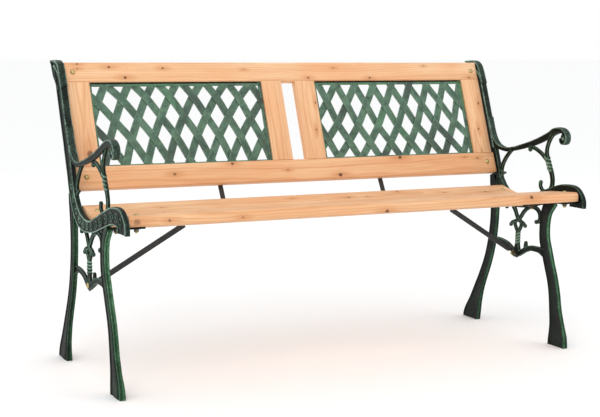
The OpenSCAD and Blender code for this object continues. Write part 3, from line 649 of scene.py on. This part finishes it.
def crown(s):
    """A flange that rolls over the top to a point, a rim behind it and a web between them."""
    bar(s, FLANGE, FLANGE_SEC, ARM_IN, HALF, 8, .1)
    bar(s, RIM, ROUND, HALF - 13, HALF - 1, 6, .4)
    web = curve([(y, z, 0) for y, z in CROWN + CROWN[:1]], 4)[:-1, :2]
    mid = web.mean(0)
    levels = ((10, .2), (10, .8), (9, .93), (5, .93), (4, .8), (4, .2))
    rings = [np.column_stack([np.full(len(web), HALF - depth), mid + (web - mid) * k]) for depth, k in levels]
    s.grid(np.array(rings), np.array([0, .05, .2, .2, .05, 0])[:, None], .6)


def scroll_work(s):
    for knots, tips in SCROLL_BARS:
        bar(s, knots, SCROLL, SCROLL_IN, SCROLL_OUT, 7, .45, tips=tips)
    for p, r in BUTTONS:
        blob(s, p, r, SCROLL_IN - 1, SCROLL_OUT + 1, .75, .4)
    for i in range(4):
        collar(s, (-111 - 4.4 * i, 486 - 9.3 * i), math.radians(24), 23, 13, 3.4)
        collar(s, (2.5, 272 - 7.8 * i), math.radians(-18), 22, 12.4, 3)
    blob(s, (5, 217), 12, SCROLL_IN - .5, SCROLL_OUT + .2, .5, .2)


def relief(s):
    """Scallops with eyes along the sunk face of the band."""
    face = HALF - 2.3
    for y, z, degrees, a in MOTIFS:
        tilt = math.radians(degrees)
        ring_at(s, (y, z), a * .95, a * .62, 1.5, face, 1.0, tilt, .3, (30, 330))
        ring_at(s, (y, z), a * .5, a * .32, 1.2, face, .9, tilt, .3, (-150, 150))
        blob(s, (y, z), a * .17, HALF - 4, HALF - 1.0, 1.0, .3)


def ledges(s):
    """Ledges under the slats, with an upstand by the band, and lugs behind the rails."""
    bottom = -SLAT_T - LEDGE_T
    for i, slat in enumerate(SLATS):
        y0 = slat[3] - LEDGE_W / 2
        y1 = y0 + LEDGE_W
        block(s, (LEDGE_IN, y0, bottom), (LEDGE_OUT, y1, -SLAT_T), in_slat(i), .2)
        block(s, (BAND_IN, y0, bottom), (LEDGE_OUT, y1, LEDGE_RISE - SLAT_T), in_slat(i), .2)
    for z in RAIL_BOLTS:
        block(s, (LEDGE_IN, RAIL_T, z - LUG_HALF), (LEDGE_OUT, RAIL_T + LEDGE_T, z + LUG_HALF), in_back, .2)


def casting():
    """One side frame for the positive side, all of it one casting."""
    s = Shell()
    bar(s, BAND_K, BAND, BAND_IN, HALF, 10, .15)
    for leg in (FRONT_LEG, REAR_LEG):
        bar(s, leg, LEG, leg_inner, leg_outer, 8, 1.0, floor=0.0)
    bar(s, UP_K, UPRIGHT, ARM_IN, HALF, 10, .1)
    bar(s, ARM_K, ARM, arm_inner, HALF, 8, .05, tips=(0, 3))
    blob(s, (-178, 542), 14, ARM_IN + 6, HALF - 6, .05)
    blob(s, (-179, 540), 6.5, ARM_IN + 1.5, HALF - 1.5, .9, .2)
    crown(s)
    scroll_work(s)
    relief(s)
    ledges(s)
    return s


iron = iron_material()
for name, side in (("left_side_frame", -1), ("right_side_frame", 1)):
    o = casting().build(name + "_casting", iron, side)
    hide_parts(name)

# ---------------------------------------------------------------- lattice
# a strip's section: across, through as a part of half its thickness, and paint, which sets the painted
# highlight on its edges
HALF_W = STRIP_W / 2
STRIP_SEC = [(-HALF_W, .3, .35), (-HALF_W + .5, .85, 1), (-HALF_W + 1.7, 1, .7), (-HALF_W + 2.6, .8, .1),
             (0, .92, .15), (HALF_W - 2.6, .8, .1), (HALF_W - 1.7, 1, .7), (HALF_W - .5, .85, 1),
             (HALF_W, .3, .35), (HALF_W, -.5, .2), (HALF_W - .8, -1, .3), (-HALF_W + .8, -1, .3),
             (-HALF_W, -.5, .2)]
STEP = math.hypot(PITCH_X / 2, PITCH_Z / 2)


def bow(p, centre, turn):
    """The even weave bent into the panel's own: a low arch about centre, turned half round if turn is -1."""
    x = p[0] * (1.003 + .00071 * p[1])
    z = 1.005 * p[1] - .00087 * p[1] ** 2 - 11.5 * (p[0] / 187) ** 2
    return np.array([centre[0] + turn * x, centre[1] + turn * z])


def strip(sh, i, k, centre, turn, lo_x, hi_x):
    """Strip number i of the set that slants with k, woven over and under the other set."""
    margin = 16
    low, high = LOW_RAIL_TOP, TOP_RAIL_BOTTOM
    pts, lifts = [], []
    for q in np.arange(-4 * STEP, 4 * STEP + 1, 4.0):
        even = np.array([i * PITCH_X, 0.0]) + np.array([k * PITCH_X / 2, PITCH_Z / 2]) / STEP * q
        pts.append(bow(even, centre, turn))
        lifts.append(k * math.cos(math.pi * q / STEP))
    pts, lifts = np.array(pts), np.array(lifts)
    x, z = pts[:, 0], pts[:, 1]
    keep = (x > lo_x - margin) & (x < hi_x + margin) & (z > low - margin) & (z < high + margin)
    if keep.sum() < 3:
        return
    kept = np.nonzero(keep)[0]
    pts, lifts = pts[kept[0]:kept[-1] + 1], lifts[kept[0]:kept[-1] + 1]
    _, nn = frames(pts)
    rings = []
    for p, lift, m in zip(pts, lifts, nn):
        row = []
        for across, through, _ in STRIP_SEC:
            e = p + m * across
            x = min(max(e[0], lo_x - TONGUE), hi_x + TONGUE)
            z = min(max(e[1], low - TONGUE), high - 4)
            row.append(in_back(x, PANEL_MID_Y - lift * STRIP_T * .55 - through * STRIP_T / 2, z))
        rings.append(row)
    waves = .14 * np.sin(np.arange(len(pts)) / 9.0 + i * 1.9)
    shade = .40 + .13 * math.sin(2.4 * i + 1.7 * k) + waves
    painted = np.array([paint for _, _, paint in STRIP_SEC])
    sh.grid(np.array(rings), painted, np.repeat(shade, len(STRIP_SEC)), caps=(False, False))


def border(sh, side):
    """The panel's frame, and the set-back strip painted black as the shadow line under the top rail."""
    low, high = LOW_RAIL_TOP, TOP_RAIL_BOTTOM
    x0, x1 = PANEL_IN - TONGUE, PANEL_OUT + TONGUE
    z0, z1 = low - TONGUE, high + TONGUE
    front, rear = PANEL_MID_Y - STRIP_T, PANEL_MID_Y + STRIP_T
    for xa, za, xb, zb in ((x0, z0, PANEL_IN + BORDER, z1), (PANEL_OUT - BORDER, z0, x1, z1),
                           (x0, z0, x1, low + BORDER_LOW), (x0, high - BORDER_TOP, x1, high - 3.4)):
        xs = sorted((side * xa, side * xb))
        block(sh, (xs[0], front + .2, za), (xs[1], rear, zb), in_back, .5, 1.1)
    xs = sorted((side * x0, side * x1))
    # painted below zero, so black: the painted shadow in the gap under the top rail
    block(sh, (xs[0], PANEL_MID_Y - .8, high - SHADOW_GAP), (xs[1], rear - .2, z1), in_back, -1, .3)


def lattice(node, side, centre, turn, mat):
    """Two sets of slanting strips in a border. centre is the crossing (x, up the lean) that they bow about,
    and turn is -1 for the panel that is the same casting turned half round."""
    sh = Shell()
    ends = sorted((side * PANEL_IN, side * PANEL_OUT))
    for k in (-1, 1):
        for i in range(-9, 10):
            strip(sh, i, k, centre, turn, *ends)
    border(sh, side)
    o = sh.build(node + "_woven", mat, 1, 35)
    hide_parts(node)


resin = lattice_material()
lattice("right_lattice", 1, (312, 141.5), -1, resin)
lattice("left_lattice", -1, (-298, 180), 1, resin)


# ---------------------------------------------------------------- timber, steel and brass on the CAD pieces
def on_rail(*knots):
    """Knots of a rail, given as (x, up the lean, radius, darkness)."""
    return [(x, UP + z, r, d) for x, z, r, d in knots]


def on_stile(*knots):
    """Knots of a stile, given as (x, up the lean, radius, darkness)."""
    return [(UP + z, x, r, d) for x, z, r, d in knots]


BOARDS = {
    "top_back_rail": dict(
        seed=1.0, mid=(UP + 290, IN), pith=(34, -24), contrast=.38,
        knots=on_rail(
            (-558, 311, 2.6, .7), (-559, 299, 2.4, .6), (-479, 303, 3.4, .8), (-441, 276, 3.6, .95),
            (-340, 300, 3, .75), (61, 273, 3, .8), (245, 272, 3.2, .8), (562, 271, 3, .7),
            (140, 300, 2.2, .5), (-120, 296, 2, .4), (420, 305, 2, .5))),
    "lower_back_rail": dict(
        seed=2.3, mid=(UP + 28, IN), pith=(-26, -40), tint=.22, contrast=.45,
        knots=on_rail(
            (-191, 49, 4, .8), (296, 50, 5, .9), (541, 40, 2.6, .7), (109, 9, 5, .95), (-40, 27, 2.6, .6),
            (-348, 28, 4, .7), (500, 44, 2, .5))),
    "front_seat_slat": dict(
        seed=3.1, mid=(-197, 396), along="y", pith=(-12, -60), tint=.12, contrast=.42,
        knots=[
            (-485, -170, 4.5, .8), (-413, -200, 3.5, .7), (39, -250, 5, .95, 391), (30, -203, 4, .6),
            (452, -248, 5.5, .95, 404), (-577, -250, 8, .5, 398), (-330, -250, 3.5, .6, 396),
            (250, -180, 3, .5), (-503, -250, 4, .7, 398)]),
    "middle_seat_slat": dict(
        seed=4.7, mid=(-88, 378), along="y", knots=[(100, -90, 6, .9), (-300, -70, 5, .8)]),
    "rear_seat_slat": dict(
        seed=5.9, mid=(22, 376), along="y", pith=(40, -40), contrast=.36,
        knots=[
            (95, 35, 4, .8), (149, 33, 3, .7), (384, 36, 3, .8), (506, 24, 3.4, .8), (253, 60, 4, .6),
            (-60, 48, 3, .5), (-413, 30, 3, .5)]),
    "left_outer_stile": dict(
        seed=6.2, mid=(-562, IN), along="z", pith=(8, -22), contrast=.36, tint=.1,
        knots=on_stile((-555, 85, 8.5, .72))),
    "left_inner_stile": dict(seed=7.8, mid=(-48, IN), along="z", pith=(-22, -26), contrast=.34),
    "right_inner_stile": dict(
        seed=8.4, mid=(48, IN), along="z", pith=(14, -24), tint=.08,
        knots=on_stile((70, 205, 3, .6), (60, 132, 3, .6))),
    "right_outer_stile": dict(
        seed=9.6, mid=(562, IN), along="z", pith=(-10, -20),
        knots=on_stile((577, 196, 3.4, .8), (562, 123, 3, .8), (560, 60, 2.4, .5))),
    "stile_dowels": dict(seed=10.1, mid=(0, IN), along="z"),
}


def dress(node, mat, bevel):
    """Gives a CAD piece its material and rounded edges."""
    o = NODES[node]
    o.data.materials.clear()
    o.data.materials.append(mat)
    o.data.polygons.foreach_set("use_smooth", [True] * len(o.data.polygons))
    if bevel:
        weld = o.modifiers.new("weld", "WELD")
        weld.merge_threshold = 1e-5
        edge = o.modifiers.new("bevel", "BEVEL")
        edge.width = bevel
        edge.segments = 3
        edge.limit_method = "ANGLE"
        edge.angle_limit = math.radians(35)
        edge.harden_normals = True
        edge.use_clamp_overlap = True


steel = steel_material()
brass = brass_material("brass_plated", (0.62, 0.49, 0.22), (0.34, 0.26, 0.11), 0.22)
# washers and nuts get a darker, rougher copy of the brass; its darkness is painted shade: the shadow ring
# round the bolt heads and the shade under the seat
dull_and_shaded = brass_material("brass_plated_dull", (0.24, 0.21, 0.13), (0.10, 0.085, 0.05), 0.45)
for node, looks in BOARDS.items():
    dress(node, wood_material("fir_" + node, **looks), 0 if node == "stile_dowels" else 0.0016)
for node in ("left_strap", "right_strap", "left_brace", "right_brace"):
    dress(node, steel, 0.0006)
for node in ("strap_screws", "brace_screws"):
    dress(node, steel, 0)
for node in NODES:
    if node.endswith(("bolts", "washers", "nuts")):
        dress(node, brass if node.endswith("bolts") else dull_and_shaded, 0)


# ---------------------------------------------------------------- stage, light and camera
def floor_material():
    m = Mat("floor_paper")
    n = m.noise(m.coords(), 3, 2)
    col = m.mix(n, (0.96, 0.965, 0.97), (0.97, 0.975, 0.98))
    return m.set(Base_Color=col, Roughness=0.9)


def make_floor(reach):
    me = bpy.data.meshes.new("floor")
    corners = [(-reach, -reach, 0), (reach, -reach, 0), (reach, reach, 0), (-reach, reach, 0)]
    me.from_pydata(corners, [], [(0, 1, 2, 3)])
    me.materials.append(floor_material())
    o = bpy.data.objects.new("floor", me)
    bpy.context.scene.collection.objects.link(o)
    return o


def area(name, at, aim, size, power):
    light = bpy.data.lights.new(name, "AREA")
    light.shape = "DISK"
    light.size = size
    light.energy = power
    o = bpy.data.objects.new(name, light)
    o.location = at
    o.rotation_euler = (Vector(aim) - Vector(at)).to_track_quat("-Z", "Y").to_euler()
    bpy.context.scene.collection.objects.link(o)


def make_camera(at, yaw, pitch, roll, lens, shift):
    """A camera in metres and radians. A yaw of 0 looks along +Y."""
    cam = bpy.data.cameras.new("camera")
    o = bpy.data.objects.new("camera", cam)
    bpy.context.scene.collection.objects.link(o)
    ahead = Vector((math.sin(yaw) * math.cos(pitch), math.cos(yaw) * math.cos(pitch), math.sin(pitch)))
    right = Vector((math.cos(yaw), -math.sin(yaw), 0))
    up = right.cross(ahead)
    x_axis = right * math.cos(roll) + up * math.sin(roll)
    y_axis = up * math.cos(roll) - right * math.sin(roll)
    turn = Matrix((x_axis, y_axis, -ahead)).transposed().to_4x4()
    o.matrix_world = Matrix.Translation(at) @ turn
    cam.sensor_width = 36
    cam.lens = lens
    cam.shift_x, cam.shift_y = shift
    cam.clip_start = 0.05
    cam.clip_end = 100
    cam.dof.use_dof = False
    return o


floor = make_floor(40)

world = bpy.data.worlds.new("studio")
bpy.context.scene.world = world
world.use_nodes = True
background = world.node_tree.nodes["Background"]
background.inputs["Color"].default_value = (1.0, 1.0, 1.0, 1)
background.inputs["Strength"].default_value = 1.0
bpy.context.scene.view_settings.view_transform = "Standard"

area("key", (-2.2, -2.6, 3.4), (0, 0, .4), 2.2, 40)
area("fill", (3.0, -2.4, 1.6), (0, 0, .4), 2.5, 10)
area("rim", (0.5, 3.0, 2.6), (0, 0, .5), 2.0, 8)
bpy.context.scene.camera = make_camera(
    at=(-1.5115, -2.8495, 0.7869), yaw=0.4571, pitch=-0.171, roll=0.0095, lens=78.24, shift=(0.0303, 0.0910))
